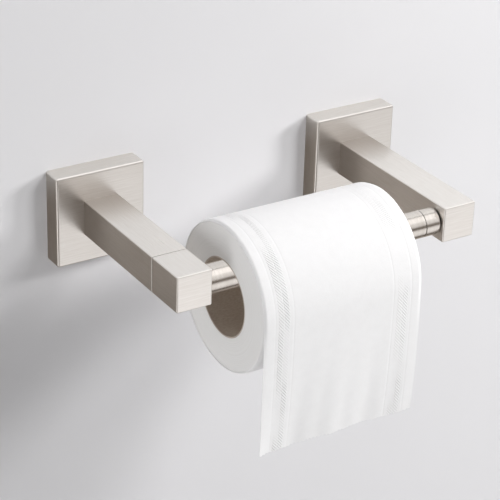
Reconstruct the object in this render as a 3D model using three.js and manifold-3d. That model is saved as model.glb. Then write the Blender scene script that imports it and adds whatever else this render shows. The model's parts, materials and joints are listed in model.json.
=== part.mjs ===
// A wall-mounted, double-post toilet paper holder with a pivoting bar, and the roll that hangs on it.
// Millimetres. +Z is up, the wall is the plane y = 0, and the holder stands out from it towards -Y.
// The origin is on the wall, midway between the two posts. Each side is modelled about its own post's
// centre line (x = 0 in its group), and the group places it at its half of the spacing.
import * as THREE from "three";
import { mergeVertices } from "three/addons/utils/BufferGeometryUtils.js";
import { RoundedBoxGeometry } from "three/addons/geometries/RoundedBoxGeometry.js";
import Module from "manifold-3d";

const wasm = await Module();
wasm.setup();

// ---- Driving dimensions ----------------------------------------------------------------------

const gap = 0.3; // between two pieces that touch on the real object

const postSpacing = 166; // between the two posts' centre lines
const projection = 113; // from the wall to the posts' end faces
const postSide = 20.5; // square section of the posts
const postWall = 2;
const postRootWall = 6; // thick end that takes the post screw
const postEdge = 0.9; // rounding of the posts' edges

const flangeSide = 53; // square cover on the wall
const flangeDepth = 12.5;
const flangeWall = 2;
const flangeFrontWall = 2.5;
const flangeEdge = 1.3;

const bracketSide = 40; // plate that the flange slips over
const bracketPlate = 2;
const bracketLipClearance = 1; // between its bent lips and the flange's front wall
const wallScrewSpacing = 23; // between the upper and the lower screw of one bracket
const wallScrewRadius = 2;
const wallScrewHeadRadius = 4;
const wallScrewHeadHeight = 2.4;
const wallScrewLength = 32; // under the head
const plugRadius = 3;
const plugDepth = 2.3; // the plug sits this far below the wall's surface
const plugLength = 27;

const postScrewRadius = 2.5;
const postScrewHeadRadius = 4.2;
const postScrewHeadHeight = 3.2;
const postScrewBite = 5; // depth of thread in the post's root
const setScrewRadius = 2;
const setScrewFromWall = 5; // height of the set screw's axis over the wall

const pivotBlockLength = 26; // the part of the left post that turns
const seamGap = 0.4; // between the left post and the pivot block
const housingLength = 9; // plug in the left post's end that carries the bush
const boltRadius = 3; // pivot bolt
const boltHeadRadius = 5;
const boltHeadHeight = 3.6;
const boltBite = 5.8; // depth of the pivot bolt's thread in the block
const bushWall = 1.1;
const bushClearance = 0.1; // running clearance between bolt and bush
const washerThickness = 0.8;
const washerWave = 0.3; // how far the wave washer's crests stand from its mid-plane
const liftAngle = Math.PI / 2; // how far the bar turns up
const stopPinRadius = 1;
const stopPinOrbit = 7.2; // distance of the stop pin from the pivot axis
const stopPinAngle = (3 * Math.PI) / 4; // where it stands, from +X towards +Z
const stopPinReach = 1.1; // how far it reaches into the block
const stopPinSet = 2.7; // how far it is set in the housing

const barRadius = 7.7;
const barWall = 1.2;
const barInset = 9.5; // from the posts' end faces to the bar's centre line
const barDrop = 0.5; // of the bar's centre line below the posts' own
const barSocket = 3; // depth of the recess in the block that hides the bar's end
const barEndGap = 0.5; // between the bar's free end and the right post
const studRadius = 3;
const studInBlock = 9; // length of the stud inside the block, past the socket
const studInBar = 10;
const insertLength = 12.5; // threaded plug in the bar's fixed end
const endCapLength = 9.2; // visible length of the bar's end cap
const endCapSpigot = 10; // its length inside the bar
const endCapEdge = 1;

const plungerRadius = 2.2; // spring plunger in the bar's free end
const plungerEngage = 0.3; // how far its nose enters the seat
const plungerNose = 2.6; // radius of its rounded nose
const plungerCollar = 1.3; // step of its collar past the nose
const plungerCollarLength = 2;
const plungerGuide = 4; // length of the end cap's front bore
const plungerStem = 2.5; // length of the stem that centres the spring
const stemRadius = 1.4;
const springTurns = 4;
const springWire = 0.35;
const springPlugLength = 3.2;
const seatRadius = 4.5; // pressed-in seat for the plunger, in the right post's inner face
const seatDimple = 0.75; // depth of its hollow

const rollRadius = 41; // over the loose sheet
const rollWidth = 96.7;
const rollShift = -12.35; // of the roll's middle from the middle between the posts
const coreBoreRadius = 21;
const coreWall = 0.8;
const sheetThickness = 0.4;
const sheetDrop = 75.5; // from the roll's front tangent to the torn edge
const sheetCurl = 3; // how far the torn edge hangs back towards the wall

// ---- Derived places --------------------------------------------------------------------------

const flangeFace = -flangeDepth;
const postRoot = flangeFace - gap;
const bracketLip = flangeDepth - flangeFrontWall - bracketLipClearance; // depth of the bent lips
const seam = -(projection - pivotBlockLength); // middle of the seam
const postEnd = seam + seamGap / 2; // end of the fixed left post
const blockBack = seam - seamGap / 2;
const barY = -(projection - barInset);
const barZ = -barDrop;
const innerFace = postSpacing / 2 - postSide / 2; // inner faces of the posts are at plus and minus this
const barFreeEnd = innerFace - barEndGap;
const barJoint = barFreeEnd - endCapLength; // where the tube meets its end cap
const rollZ = barZ + barRadius + gap - coreBoreRadius; // the core hangs on top of the bar
const paperOuter = rollRadius - sheetThickness - gap;

// ---- Materials -------------------------------------------------------------------------------

const finish = (color, roughness, metalness) => () =>
  new THREE.MeshStandardMaterial({ color, roughness, metalness });
const brushedNickel = finish(0xb4ada5, 0.34, 1);
const satinNickel = finish(0xc9c5bf, 0.22, 1);
const zincSteel = finish(0xb9bcc0, 0.4, 1);
const blackSteel = finish(0x35353a, 0.45, 1);
const springSteel = finish(0x9a9da1, 0.3, 1);
const bronze = finish(0xb08a4a, 0.4, 1);
const dieCastZinc = finish(0x8d8f92, 0.55, 1);
const greyPlastic = finish(0xa7abb0, 0.6, 0);
const cardboard = finish(0xa3988b, 0.9, 0);
const paper = finish(0xf3f2f0, 0.95, 0);

// ---- Helpers ---------------------------------------------------------------------------------

// A closed three.js geometry as a manifold-3d solid.
function solid(geometry) {
  const bare = geometry.index ? geometry.toNonIndexed() : geometry.clone();
  bare.deleteAttribute("normal");
  bare.deleteAttribute("uv");
  const merged = mergeVertices(bare, 1e-4);
  const corners = merged.index.array;
  const kept = [];
  for (let i = 0; i < corners.length; i += 3) {
    const [a, b, c] = corners.slice(i, i + 3);
    if (a !== b && b !== c && c !== a) kept.push(a, b, c);
  }
  return new wasm.Manifold(
    new wasm.Mesh({
      numProp: 3,
      vertProperties: merged.attributes.position.array,
      triVerts: new Uint32Array(kept),
    }),
  );
}

// A manifold-3d solid as a three.js geometry.
function geometryOf(body) {
  const { numProp, numVert, vertProperties, triVerts } = body.getMesh();
  const places = new Float32Array(numVert * 3);
  for (let i = 0; i < numVert; i++) {
    places.set(vertProperties.subarray(i * numProp, i * numProp + 3), i * 3);
  }
  const geometry = new THREE.BufferGeometry();
  geometry.setAttribute("position", new THREE.BufferAttribute(places, 3));
  geometry.setIndex(new THREE.BufferAttribute(triVerts, 1));
  const faceted = geometry.toNonIndexed();
  faceted.computeVertexNormals();
  return faceted;
}

// Adds one named mesh to a group.
function add(group, name, body, material) {
  const mesh = new THREE.Mesh(geometryOf(body), material());
  mesh.name = name;
  group.add(mesh);
}

// A box between two corners.
function box(low, high) {
  const size = high.map((h, i) => h - low[i]);
  const middle = high.map((h, i) => (h + low[i]) / 2);
  return solid(new THREE.BoxGeometry(...size).translate(...middle));
}

// A box with all its edges rounded.
function roundedBox(low, high, radius) {
  const size = high.map((h, i) => h - low[i]);
  const middle = high.map((h, i) => (h + low[i]) / 2);
  return solid(new RoundedBoxGeometry(...size, 2, radius).translate(...middle));
}

// Turns a geometry made along +Y so that it lies along another axis.
function along(axis, geometry) {
  if (axis === "x") return geometry.rotateZ(-Math.PI / 2);
  if (axis === "z") return geometry.rotateX(Math.PI / 2);
  return geometry;
}

// A round bar along an axis, between two stations on it, through the point "at" of the other two axes.
function rod(axis, radius, from, to, at = [0, 0], sides = 32) {
  const geometry = new THREE.CylinderGeometry(radius, radius, Math.abs(to - from), sides);
  const middle = (from + to) / 2;
  const place = {
    x: [middle, at[0], at[1]],
    y: [at[0], middle, at[1]],
    z: [at[0], at[1], middle],
  }[axis];
  return solid(along(axis, geometry).translate(...place));
}

// A turned piece: [radius, station] pairs from the first station to the last, closed on the axis.
function turned(axis, profile, at = [0, 0], sides = 24) {
  const first = profile[0][1];
  const last = profile[profile.length - 1][1];
  const points = [[0, first], ...profile, [0, last]];
  if (last < first) points.reverse();
  const outline = points.map(([radius, station]) => new THREE.Vector2(radius, station));
  const geometry = along(axis, new THREE.LatheGeometry(outline, sides));
  const place = { x: [0, at[0], at[1]], y: [at[0], 0, at[1]], z: [at[0], at[1], 0] }[axis];
  return solid(geometry.translate(...place));
}

// A hexagonal socket or a cross recess, to be cut from a screw's head.
function hexSocket(axis, acrossCorners, from, to, at) {
  return rod(axis, acrossCorners / 2, from, to, at, 6);
}

function crossRecess(width, slot, from, to, at) {
  const [x, z] = at;
  const low = Math.min(from, to);
  const high = Math.max(from, to);
  const flat = box([x - width / 2, low, z - slot / 2], [x + width / 2, high, z + slot / 2]);
  const upright = box([x - slot / 2, low, z - width / 2], [x + slot / 2, high, z + width / 2]);
  return flat.add(upright);
}

// An outline drawn in the Y-Z plane, extruded along X.
function extrudedAlongX(outline, from, to) {
  const geometry = new THREE.ExtrudeGeometry(new THREE.Shape(outline), {
    depth: to - from,
    bevelEnabled: false,
  });
  const turn = new THREE.Matrix4().makeBasis(
    new THREE.Vector3(0, 1, 0),
    new THREE.Vector3(0, 0, 1),
    new THREE.Vector3(1, 0, 0),
  );
  return solid(geometry.applyMatrix4(turn).translate(from, 0, 0));
}

// ---- Wall side: bracket, screws and plugs -----------------------------------------------------

function wallBracket() {
  const half = bracketSide / 2;
  const inner = half - bracketPlate;
  const outline = [
    [0, -half],
    [0, half],
    [-bracketLip, half],
    [-bracketLip, inner],
    [-bracketPlate, inner],
    [-bracketPlate, -inner],
    [-bracketLip, -inner],
    [-bracketLip, -half],
  ].map(([y, z]) => new THREE.Vector2(y, z));
  let body = extrudedAlongX(outline, -half, half);
  for (const z of [-wallScrewSpacing / 2, wallScrewSpacing / 2]) {
    body = body.subtract(rod("y", wallScrewRadius + 2 * gap, -bracketPlate - 1, 1, [0, z]));
  }
  return body;
}

// A pan-head wood screw with a cross recess: plain under the head, ringed by its thread, pointed.
function wallScrew(z) {
  const under = -bracketPlate - gap;
  const tip = under + wallScrewLength;
  const r = wallScrewRadius;
  const root = r * 0.78;
  const plain = 5;
  const pitch = 4;
  const profile = [
    [wallScrewHeadRadius * 0.55, under - wallScrewHeadHeight],
    [wallScrewHeadRadius * 0.9, under - wallScrewHeadHeight * 0.7],
    [wallScrewHeadRadius, under - wallScrewHeadHeight * 0.25],
    [wallScrewHeadRadius, under],
    [r, under],
    [r, under + plain],
  ];
  for (let y = under + plain + pitch / 2; y < tip - 2 * pitch; y += pitch) {
    profile.push([root, y], [r, y + pitch / 2]);
  }
  profile.push([root, tip - 1.2 * pitch], [0.3, tip]);
  const recess = crossRecess(
    wallScrewHeadRadius,
    0.9,
    under - wallScrewHeadHeight - 1,
    under - wallScrewHeadHeight * 0.35,
    [0, z],
  );
  return turned("y", profile, [0, z], 12).subtract(recess);
}

// An expanding plug: a ribbed tube, slit from its far end.
function wallPlug(z) {
  const near = plugDepth;
  const far = plugDepth + plugLength;
  const ribs = 4;
  const profile = [[plugRadius, near]];
  for (let i = 1; i <= ribs; i++) {
    const y = near + (plugLength * i) / (ribs + 1);
    profile.push([plugRadius, y], [plugRadius * 0.88, y]);
  }
  profile.push([plugRadius * 0.8, far]);
  const bore = rod("y", wallScrewRadius + gap, near - 1, far + 1, [0, z], 12);
  const slit = box([-plugRadius - 1, near + plugLength / 4, z - 0.4], [plugRadius + 1, far + 1, z + 0.4]);
  return turned("y", profile, [0, z], 12).subtract(bore).subtract(slit);
}

// ---- Flange and its screws --------------------------------------------------------------------

function flange() {
  const half = flangeSide / 2;
  const inner = half - flangeWall;
  const shell = roundedBox([-half, flangeFace, -half], [half, flangeDepth, half], flangeEdge);
  return shell
    .subtract(box([-half - 1, 0, -half - 1], [half + 1, flangeDepth + 1, half + 1]))
    .subtract(box([-inner, flangeFace + flangeFrontWall, -inner], [inner, 1, inner]))
    .subtract(rod("y", postScrewRadius + gap, flangeFace - 1, 0))
    .subtract(rod("z", setScrewRadius + gap, -half - 1, -inner + 1, [0, -setScrewFromWall], 24));
}

// The grub screw in the flange's underside that presses on the bracket's lower lip.
function flangeSetScrew() {
  const outer = -flangeSide / 2 + gap;
  const tip = -bracketSide / 2 - gap;
  const at = [0, -setScrewFromWall];
  return rod("z", setScrewRadius, outer, tip, at, 24).subtract(
    hexSocket("z", 2.3, outer - 1, outer + 1.8, at),
  );
}

// The machine screw that holds the post on the flange, put in from behind.
function postScrew() {
  const seat = flangeFace + flangeFrontWall + gap;
  const tip = postRoot - postScrewBite;
  const profile = [
    [postScrewHeadRadius, seat + postScrewHeadHeight],
    [postScrewHeadRadius, seat],
    [postScrewRadius, seat],
    [postScrewRadius, tip + 0.6],
    [postScrewRadius - 0.6, tip],
  ];
  const top = seat + postScrewHeadHeight;
  return turned("y", profile).subtract(hexSocket("y", 4.4, top - 2, top + 1, [0, 0]));
}

// ---- Posts ------------------------------------------------------------------------------------

// The outside of a post, rounded at its free end and along its edges, between two stations from the wall.
function postBody(from, to) {
  const half = postSide / 2;
  const whole = roundedBox([-half, -projection, -half], [half, 0, half], postEdge);
  return whole.intersect(box([-half - 1, to, -half - 1], [half + 1, from, half + 1]));
}

function postHollow(from, to) {
  const inner = postSide / 2 - postWall;
  return box([-inner, to, -inner], [inner, from, inner]);
}

function postScrewHole() {
  return rod("y", postScrewRadius + gap, postRoot - postRootWall - 1, postRoot + 1);
}

function rightPost() {
  const inner = -postSide / 2;
  return postBody(postRoot, -projection)
    .subtract(postHollow(postRoot - postRootWall, -projection + postWall))
    .subtract(postScrewHole())
    .subtract(rod("x", seatRadius + gap, inner - 1, inner + postWall + 1, [barY, barZ]));
}

function leftPost() {
  return postBody(postRoot, postEnd)
    .subtract(postHollow(postRoot - postRootWall, postEnd - 1))
    .subtract(postScrewHole());
}

// ---- Pivot in the left post --------------------------------------------------------------------

const housingInner = postEnd + housingLength;
const boltSeat = housingInner + gap + 2 * washerWave + washerThickness + gap;
const pinAt = [stopPinOrbit * Math.cos(stopPinAngle), stopPinOrbit * Math.sin(stopPinAngle)];

function pivotHousing() {
  const half = postSide / 2 - postWall - gap;
  return box([-half, postEnd, -half], [half, housingInner, half])
    .subtract(rod("y", boltRadius + bushClearance + bushWall + gap, postEnd - 1, housingInner + 1))
    .subtract(rod("y", stopPinRadius + gap, postEnd - 1, postEnd + stopPinSet + gap, pinAt, 16));
}

function pivotBush() {
  const inner = boltRadius + bushClearance;
  return rod("y", inner + bushWall, postEnd, housingInner).subtract(
    rod("y", inner, postEnd - 1, housingInner + 1, [0, 0], 48),
  );
}

// A spring washer whose ring rises and falls in three waves.
function waveWasher() {
  const inner = boltRadius + gap;
  const outer = boltHeadRadius + 0.8;
  const middle = housingInner + gap + washerWave + washerThickness / 2;
  const half = washerThickness / 2;
  const ring = [
    [inner, -half],
    [outer, -half],
    [outer, half],
    [inner, half],
    [inner, -half],
  ].map(([r, y]) => new THREE.Vector2(r, y));
  const geometry = new THREE.LatheGeometry(ring, 36);
  const places = geometry.getAttribute("position");
  for (let i = 0; i < places.count; i++) {
    const turn = Math.atan2(places.getZ(i), places.getX(i));
    places.setY(i, places.getY(i) + washerWave * Math.sin(3 * turn));
  }
  return solid(geometry.translate(0, middle, 0));
}

// The shoulder bolt: its head bears on the washer, its end is threaded into the block.
function pivotBolt() {
  const top = boltSeat + boltHeadHeight;
  const tip = blockBack - boltBite;
  const profile = [
    [boltHeadRadius - 0.4, top],
    [boltHeadRadius, top - 0.4],
    [boltHeadRadius, boltSeat],
    [boltRadius, boltSeat],
    [boltRadius, tip + 0.5],
    [boltRadius - 0.5, tip],
  ];
  return turned("y", profile, [0, 0], 48).subtract(hexSocket("y", 5.8, top - 2.2, top + 1, [0, 0]));
}

function stopPin() {
  return rod("y", stopPinRadius, postEnd + stopPinSet, blockBack - stopPinReach, pinAt, 16);
}

// The curved groove in the block's back that the stop pin runs in, over the bar's lift.
function stopGroove() {
  const reach = stopPinRadius + gap;
  const start = stopPinAngle - liftAngle;
  const shape = new THREE.Shape();
  const endCentre = (turn) => [stopPinOrbit * Math.cos(turn), stopPinOrbit * Math.sin(turn)];
  shape.absarc(0, 0, stopPinOrbit + reach, start, stopPinAngle, false);
  shape.absarc(...endCentre(stopPinAngle), reach, stopPinAngle, stopPinAngle + Math.PI, false);
  shape.absarc(0, 0, stopPinOrbit - reach, stopPinAngle, start, true);
  shape.absarc(...endCentre(start), reach, start + Math.PI, start + 2 * Math.PI, false);
  const depth = stopPinReach + gap + 0.1;
  const geometry = new THREE.ExtrudeGeometry(shape, {
    depth: depth + 1,
    bevelEnabled: false,
    curveSegments: 10,
  });
  // the drawing's own plane becomes X-Z, and its depth runs along -Y
  return solid(geometry.rotateX(Math.PI / 2).translate(0, blockBack + 1, 0));
}

function pivotBlock() {
  const inner = postSide / 2;
  const socketEnd = inner - barSocket;
  const studEnd = socketEnd - studInBlock - gap;
  return postBody(blockBack, -projection)
    .subtract(rod("y", boltRadius + gap, blockBack - boltBite - gap, blockBack + 1))
    .subtract(stopGroove())
    .subtract(rod("x", barRadius + gap, socketEnd, inner + 1, [barY, barZ], 48))
    .subtract(rod("x", studRadius + gap, studEnd, inner, [barY, barZ], 24));
}

// ---- Bar, its fixings and its catch ------------------------------------------------------------

const leftAxis = -postSpacing / 2;
const socketFloor = leftAxis + postSide / 2 - barSocket;
const barStart = socketFloor + gap;
const barAt = [barY, barZ];
const plungerTip = innerFace + plungerEngage;
const guideEnd = barFreeEnd - plungerGuide;
const collarFront = guideEnd - gap;
const collarBack = collarFront - plungerCollarLength;
const catchBore = plungerRadius + gap + plungerCollar; // radius of the end cap's rear bore
const spigotEnd = barJoint - endCapSpigot;
const springPlugEnd = spigotEnd + gap + springPlugLength;

function barStud() {
  return rod("x", studRadius, socketFloor - studInBlock, barStart + studInBar, barAt, 24);
}

function barInsert() {
  const bore = rod("x", studRadius + gap, barStart - 1, barStart + insertLength + 1, barAt, 24);
  const radius = barRadius - barWall - gap;
  return rod("x", radius, barStart, barStart + insertLength, barAt).subtract(bore);
}

function barTube() {
  const bore = rod("x", barRadius - barWall, barStart - 1, barJoint + 1, barAt, 48);
  return rod("x", barRadius, barStart, barJoint - gap, barAt, 48).subtract(bore);
}

function barEndCap() {
  const spigot = barRadius - barWall - gap;
  const profile = [
    [spigot, spigotEnd],
    [spigot, barJoint],
    [barRadius, barJoint],
    [barRadius, barFreeEnd - endCapEdge],
    [barRadius - endCapEdge * 0.3, barFreeEnd - endCapEdge * 0.3],
    [barRadius - endCapEdge, barFreeEnd],
  ];
  return turned("x", profile, barAt, 48)
    .subtract(rod("x", plungerRadius + gap, spigotEnd, barFreeEnd + 1, barAt, 24))
    .subtract(rod("x", catchBore, spigotEnd - 1, guideEnd, barAt, 24));
}

function catchPlunger() {
  const steps = 4;
  const nose = [];
  const reach = Math.asin(plungerRadius / plungerNose);
  for (let i = steps; i >= 0; i--) {
    const turn = (reach * i) / steps;
    const station = plungerTip - plungerNose * (1 - Math.cos(turn));
    nose.push([Math.max(plungerNose * Math.sin(turn), 0.05), station]);
  }
  const profile = [
    [stemRadius, collarBack - plungerStem],
    [stemRadius, collarBack],
    [catchBore - gap, collarBack],
    [catchBore - gap, collarFront],
    [plungerRadius, collarFront],
    ...nose,
  ];
  return turned("x", profile, barAt, 24);
}

// A line that winds round the bar's centre line, for the spring's wire.
class Coil extends THREE.Curve {
  constructor(from, to, radius, turns) {
    super();
    Object.assign(this, { from, to, radius, turns });
  }
  getPoint(t, target = new THREE.Vector3()) {
    const turn = 2 * Math.PI * this.turns * t;
    const x = this.from + (this.to - this.from) * t;
    return target.set(x, barY + this.radius * Math.cos(turn), barZ + this.radius * Math.sin(turn));
  }
}

function catchSpring() {
  const room = springWire + gap;
  const middle = (catchBore + stemRadius) / 2;
  const section = new THREE.Shape().absarc(0, 0, springWire, 0, 2 * Math.PI);
  const geometry = new THREE.ExtrudeGeometry(section, {
    extrudePath: new Coil(springPlugEnd + room, collarBack - room, middle, springTurns),
    steps: springTurns * 10,
    curveSegments: 3,
  });
  return solid(geometry);
}

function catchSpringPlug() {
  const slot = box(
    [spigotEnd - 1, barY - catchBore, barZ - 0.5],
    [spigotEnd + gap + 1, barY + catchBore, barZ + 0.5],
  );
  return rod("x", catchBore - gap, spigotEnd + gap, springPlugEnd, barAt, 24).subtract(slot);
}

// The seat is made in the holder's own frame, in the right post's inner wall.
function catchSeat() {
  const ball = plungerNose + gap;
  const hollow = new THREE.SphereGeometry(ball, 24, 16).translate(
    innerFace + seatDimple - ball,
    barY,
    barZ,
  );
  return rod("x", seatRadius, innerFace, innerFace + postWall, barAt).subtract(solid(hollow));
}

// ---- Roll --------------------------------------------------------------------------------------

const rollAt = [barY, rollZ];
const rollStart = rollShift - rollWidth / 2;
const rollEnd = rollShift + rollWidth / 2;

function ring(inner, outer, sides) {
  const bore = rod("x", inner, rollStart - 1, rollEnd + 1, rollAt, sides);
  return rod("x", outer, rollStart, rollEnd, rollAt, sides).subtract(bore);
}

// The last quarter turn of paper and the free length that hangs from it, as one thin band.
function looseSheet() {
  const middle = rollRadius - sheetThickness / 2;
  const front = barY - middle;
  const over = new THREE.EllipseCurve(barY, rollZ, middle, middle, Math.PI / 2, Math.PI);
  const tail = new THREE.CubicBezierCurve(
    new THREE.Vector2(front, rollZ),
    new THREE.Vector2(front, rollZ - sheetDrop / 3),
    new THREE.Vector2(front + sheetCurl / 8, rollZ - (2 * sheetDrop) / 3),
    new THREE.Vector2(front + sheetCurl, rollZ - sheetDrop),
  );
  const places = [];
  const across = [];
  for (const [curve, steps] of [[over, 16], [tail, 10]]) {
    for (let i = places.length ? 1 : 0; i <= steps; i++) {
      const tangent = curve.getTangent(i / steps);
      places.push(curve.getPoint(i / steps));
      across.push(new THREE.Vector2(-tangent.y, tangent.x).multiplyScalar(sheetThickness / 2));
    }
  }
  const inner = places.map((p, i) => p.clone().add(across[i]));
  const outer = places.map((p, i) => p.clone().sub(across[i]));
  return extrudedAlongX([...outer, ...inner.reverse()], rollStart, rollEnd);
}

// ---- Assembly ----------------------------------------------------------------------------------

const holder = new THREE.Group();

for (const [side, sign] of [["left", -1], ["right", 1]]) {
  const group = new THREE.Group();
  group.position.x = (sign * postSpacing) / 2;
  holder.add(group);
  add(group, side + "_wall_bracket", wallBracket(), zincSteel);
  for (const [level, z] of [["upper", wallScrewSpacing / 2], ["lower", -wallScrewSpacing / 2]]) {
    add(group, side + "_" + level + "_wall_screw", wallScrew(z), zincSteel);
    add(group, side + "_" + level + "_wall_plug", wallPlug(z), greyPlastic);
  }
  add(group, side + "_flange", flange(), brushedNickel);
  add(group, side + "_flange_set_screw", flangeSetScrew(), blackSteel);
  add(group, side + "_post_screw", postScrew(), zincSteel);
  add(group, side + "_post", side === "left" ? leftPost() : rightPost(), brushedNickel);
  if (side === "left") {
    add(group, "pivot_housing", pivotHousing(), dieCastZinc);
    add(group, "pivot_bush", pivotBush(), bronze);
    add(group, "pivot_wave_washer", waveWasher(), springSteel);
    add(group, "pivot_bolt", pivotBolt(), zincSteel);
    add(group, "pivot_stop_pin", stopPin(), springSteel);
    add(group, "pivot_block", pivotBlock(), brushedNickel);
  }
}

add(holder, "bar_stud", barStud(), zincSteel);
add(holder, "bar_insert", barInsert(), dieCastZinc);
add(holder, "bar_tube", barTube(), satinNickel);
add(holder, "bar_end_cap", barEndCap(), satinNickel);
add(holder, "catch_plunger", catchPlunger(), springSteel);
add(holder, "catch_spring", catchSpring(), springSteel);
add(holder, "catch_spring_plug", catchSpringPlug(), dieCastZinc);
add(holder, "catch_seat", catchSeat(), dieCastZinc);

add(holder, "roll_core", ring(coreBoreRadius, coreBoreRadius + coreWall, 72), cardboard);
add(holder, "paper_roll", ring(coreBoreRadius + coreWall + gap, paperOuter, 72), paper);
add(holder, "loose_sheet", looseSheet(), paper);

export default holder;
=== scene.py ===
# %% [markdown]
# # A toilet paper holder on two square posts
# The real holder is a handful of brushed metal pieces. Two square covers, called flanges, hide the brackets
# on the wall. A square post stands out of each one, and a round bar between the posts carries the roll. The
# left post's end turns, so that the bar swings up for a new roll.
#
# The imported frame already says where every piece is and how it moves. This lesson makes the surfaces: it
# models the pieces that show, gives each one its finish, and lights them.

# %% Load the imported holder
import json
import math
from contextlib import contextmanager

import bmesh
import bpy
import numpy as np
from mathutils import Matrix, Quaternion, Vector


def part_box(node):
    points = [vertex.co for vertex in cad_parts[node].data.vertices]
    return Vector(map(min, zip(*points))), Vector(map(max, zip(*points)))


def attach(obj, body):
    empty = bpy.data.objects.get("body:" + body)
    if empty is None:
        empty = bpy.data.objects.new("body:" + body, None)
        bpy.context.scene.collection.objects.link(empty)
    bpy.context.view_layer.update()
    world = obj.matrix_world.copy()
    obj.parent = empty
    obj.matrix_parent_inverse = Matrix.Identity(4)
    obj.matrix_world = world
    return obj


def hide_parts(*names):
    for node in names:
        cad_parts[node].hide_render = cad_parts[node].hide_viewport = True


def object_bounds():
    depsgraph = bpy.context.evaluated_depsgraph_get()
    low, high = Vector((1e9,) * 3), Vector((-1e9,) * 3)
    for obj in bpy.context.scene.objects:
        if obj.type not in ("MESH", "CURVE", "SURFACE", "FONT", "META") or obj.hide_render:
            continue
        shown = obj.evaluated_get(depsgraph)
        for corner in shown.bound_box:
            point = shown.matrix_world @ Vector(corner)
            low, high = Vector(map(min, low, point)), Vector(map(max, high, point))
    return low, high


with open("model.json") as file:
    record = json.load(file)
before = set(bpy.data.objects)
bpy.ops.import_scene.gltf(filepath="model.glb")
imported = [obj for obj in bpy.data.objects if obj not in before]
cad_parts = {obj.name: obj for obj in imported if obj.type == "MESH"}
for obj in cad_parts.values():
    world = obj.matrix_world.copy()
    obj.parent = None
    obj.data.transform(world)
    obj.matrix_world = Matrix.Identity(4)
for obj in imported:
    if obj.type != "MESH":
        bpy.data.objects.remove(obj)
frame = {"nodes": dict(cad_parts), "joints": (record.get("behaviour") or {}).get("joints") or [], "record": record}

MM = 0.001  # one millimetre, in metres
cad_low, cad_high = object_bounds()
print("the packed holder measures", [round(side / MM, 1) for side in cad_high - cad_low], "mm")

# %% [markdown]
# ## Camera
# A long lens from about a metre away keeps the square posts square: their edges hardly run together. The
# place is given as a direction from the holder, a distance and the point looked at, because those are
# easier to adjust than three coordinates. The camera leans by two degrees, as a hand-held one does.

# %% Camera
view_azimuth = math.radians(-32.54)
view_elevation = math.radians(27.01)
camera_lean = math.radians(1.84)
camera_distance = 1.00925
looked_at = Vector((-26.94, -75.32, -7.13)) * MM

towards_camera = Vector((
    math.sin(view_azimuth) * math.cos(view_elevation),
    -math.cos(view_azimuth) * math.cos(view_elevation),
    math.sin(view_elevation),
))
bpy.ops.object.camera_add(location=looked_at + towards_camera * camera_distance)
camera = bpy.context.object
camera.rotation_mode = "QUATERNION"
level = (-towards_camera).to_track_quat("-Z", "Y")
camera.rotation_quaternion = level @ Quaternion((0, 0, 1), camera_lean)
camera.data.sensor_width = 36
camera.data.lens = 136.58
bpy.context.scene.camera = camera
bpy.context.scene.view_settings.view_transform = "Standard"
print("camera at", [round(place / MM) for place in camera.location], "mm")

# %% [markdown]
# ## Modelling by hand, in code
# Every piece starts as a primitive of the right size and is shaped in edit mode. An operator acts on what
# is selected, so the helpers below do what a hand does: clear the selection, pick faces or edges by where
# they are, and then run one tool.

# %% Selecting
def nothing_selected():
    """Leaves edit mode and deselects every object."""
    if bpy.context.object and bpy.context.object.mode != "OBJECT":
        bpy.ops.object.mode_set(mode="OBJECT")
    bpy.ops.object.select_all(action="DESELECT")


def work_on(piece):
    """Makes one object the selected and active one."""
    nothing_selected()
    piece.select_set(True)
    bpy.context.view_layer.objects.active = piece


@contextmanager
def editing(piece):
    """Edit mode on one piece, with nothing selected in it."""
    work_on(piece)
    bpy.ops.object.mode_set(mode="EDIT")
    bpy.ops.mesh.select_all(action="DESELECT")
    yield
    bpy.ops.object.mode_set(mode="OBJECT")


def pick(piece, kind, wanted):
    """Selects the vertices, edges or faces (kind VERT, EDGE or FACE) for which wanted says yes."""
    bpy.ops.mesh.select_mode(type=kind)
    bpy.ops.mesh.select_all(action="DESELECT")
    mesh = bmesh.from_edit_mesh(piece.data)
    elements = {"VERT": mesh.verts, "EDGE": mesh.edges, "FACE": mesh.faces}[kind]
    for element in elements:
        if wanted(element):
            element.select_set(True)
    bmesh.update_edit_mesh(piece.data)


# %% Tests on edges and faces
NEAR = 1e-6  # two places nearer than this are the same
ALIGNED = 0.999  # the cosine above which two directions are the same


def edge_in_plane(axis, place):
    """A test: does the whole edge lie at this place along the axis (0, 1 or 2)?"""
    return lambda edge: all(abs(corner.co[axis] - place) < NEAR for corner in edge.verts)


def edge_along(axis):
    """A test: does the edge run along this axis?"""
    return lambda edge: abs((edge.verts[1].co - edge.verts[0].co).normalized()[axis]) > ALIGNED


def edge_of_box(low, high):
    """A test: does the edge lie along one of the twelve edges of the box between two corners?"""
    def test(edge):
        middle = (edge.verts[0].co + edge.verts[1].co) / 2
        at_limit = [min(abs(middle[i] - low[i]), abs(middle[i] - high[i])) < NEAR for i in range(3)]
        return sum(at_limit) >= 2
    return test


def face_towards(axis, sign):
    """A test: does the face look straight along this axis, in this direction?"""
    return lambda face: face.normal[axis] * sign > ALIGNED


# %% Primitives at their size and place
def add_box(name, low, high):
    """A box between two corners, with its place and size in its mesh."""
    nothing_selected()
    bpy.ops.mesh.primitive_cube_add(size=1, location=(Vector(low) + Vector(high)) / 2)
    piece = bpy.context.object
    piece.name = name
    piece.scale = Vector(high) - Vector(low)
    bpy.ops.object.transform_apply(location=True, rotation=True, scale=True)
    return piece


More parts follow.
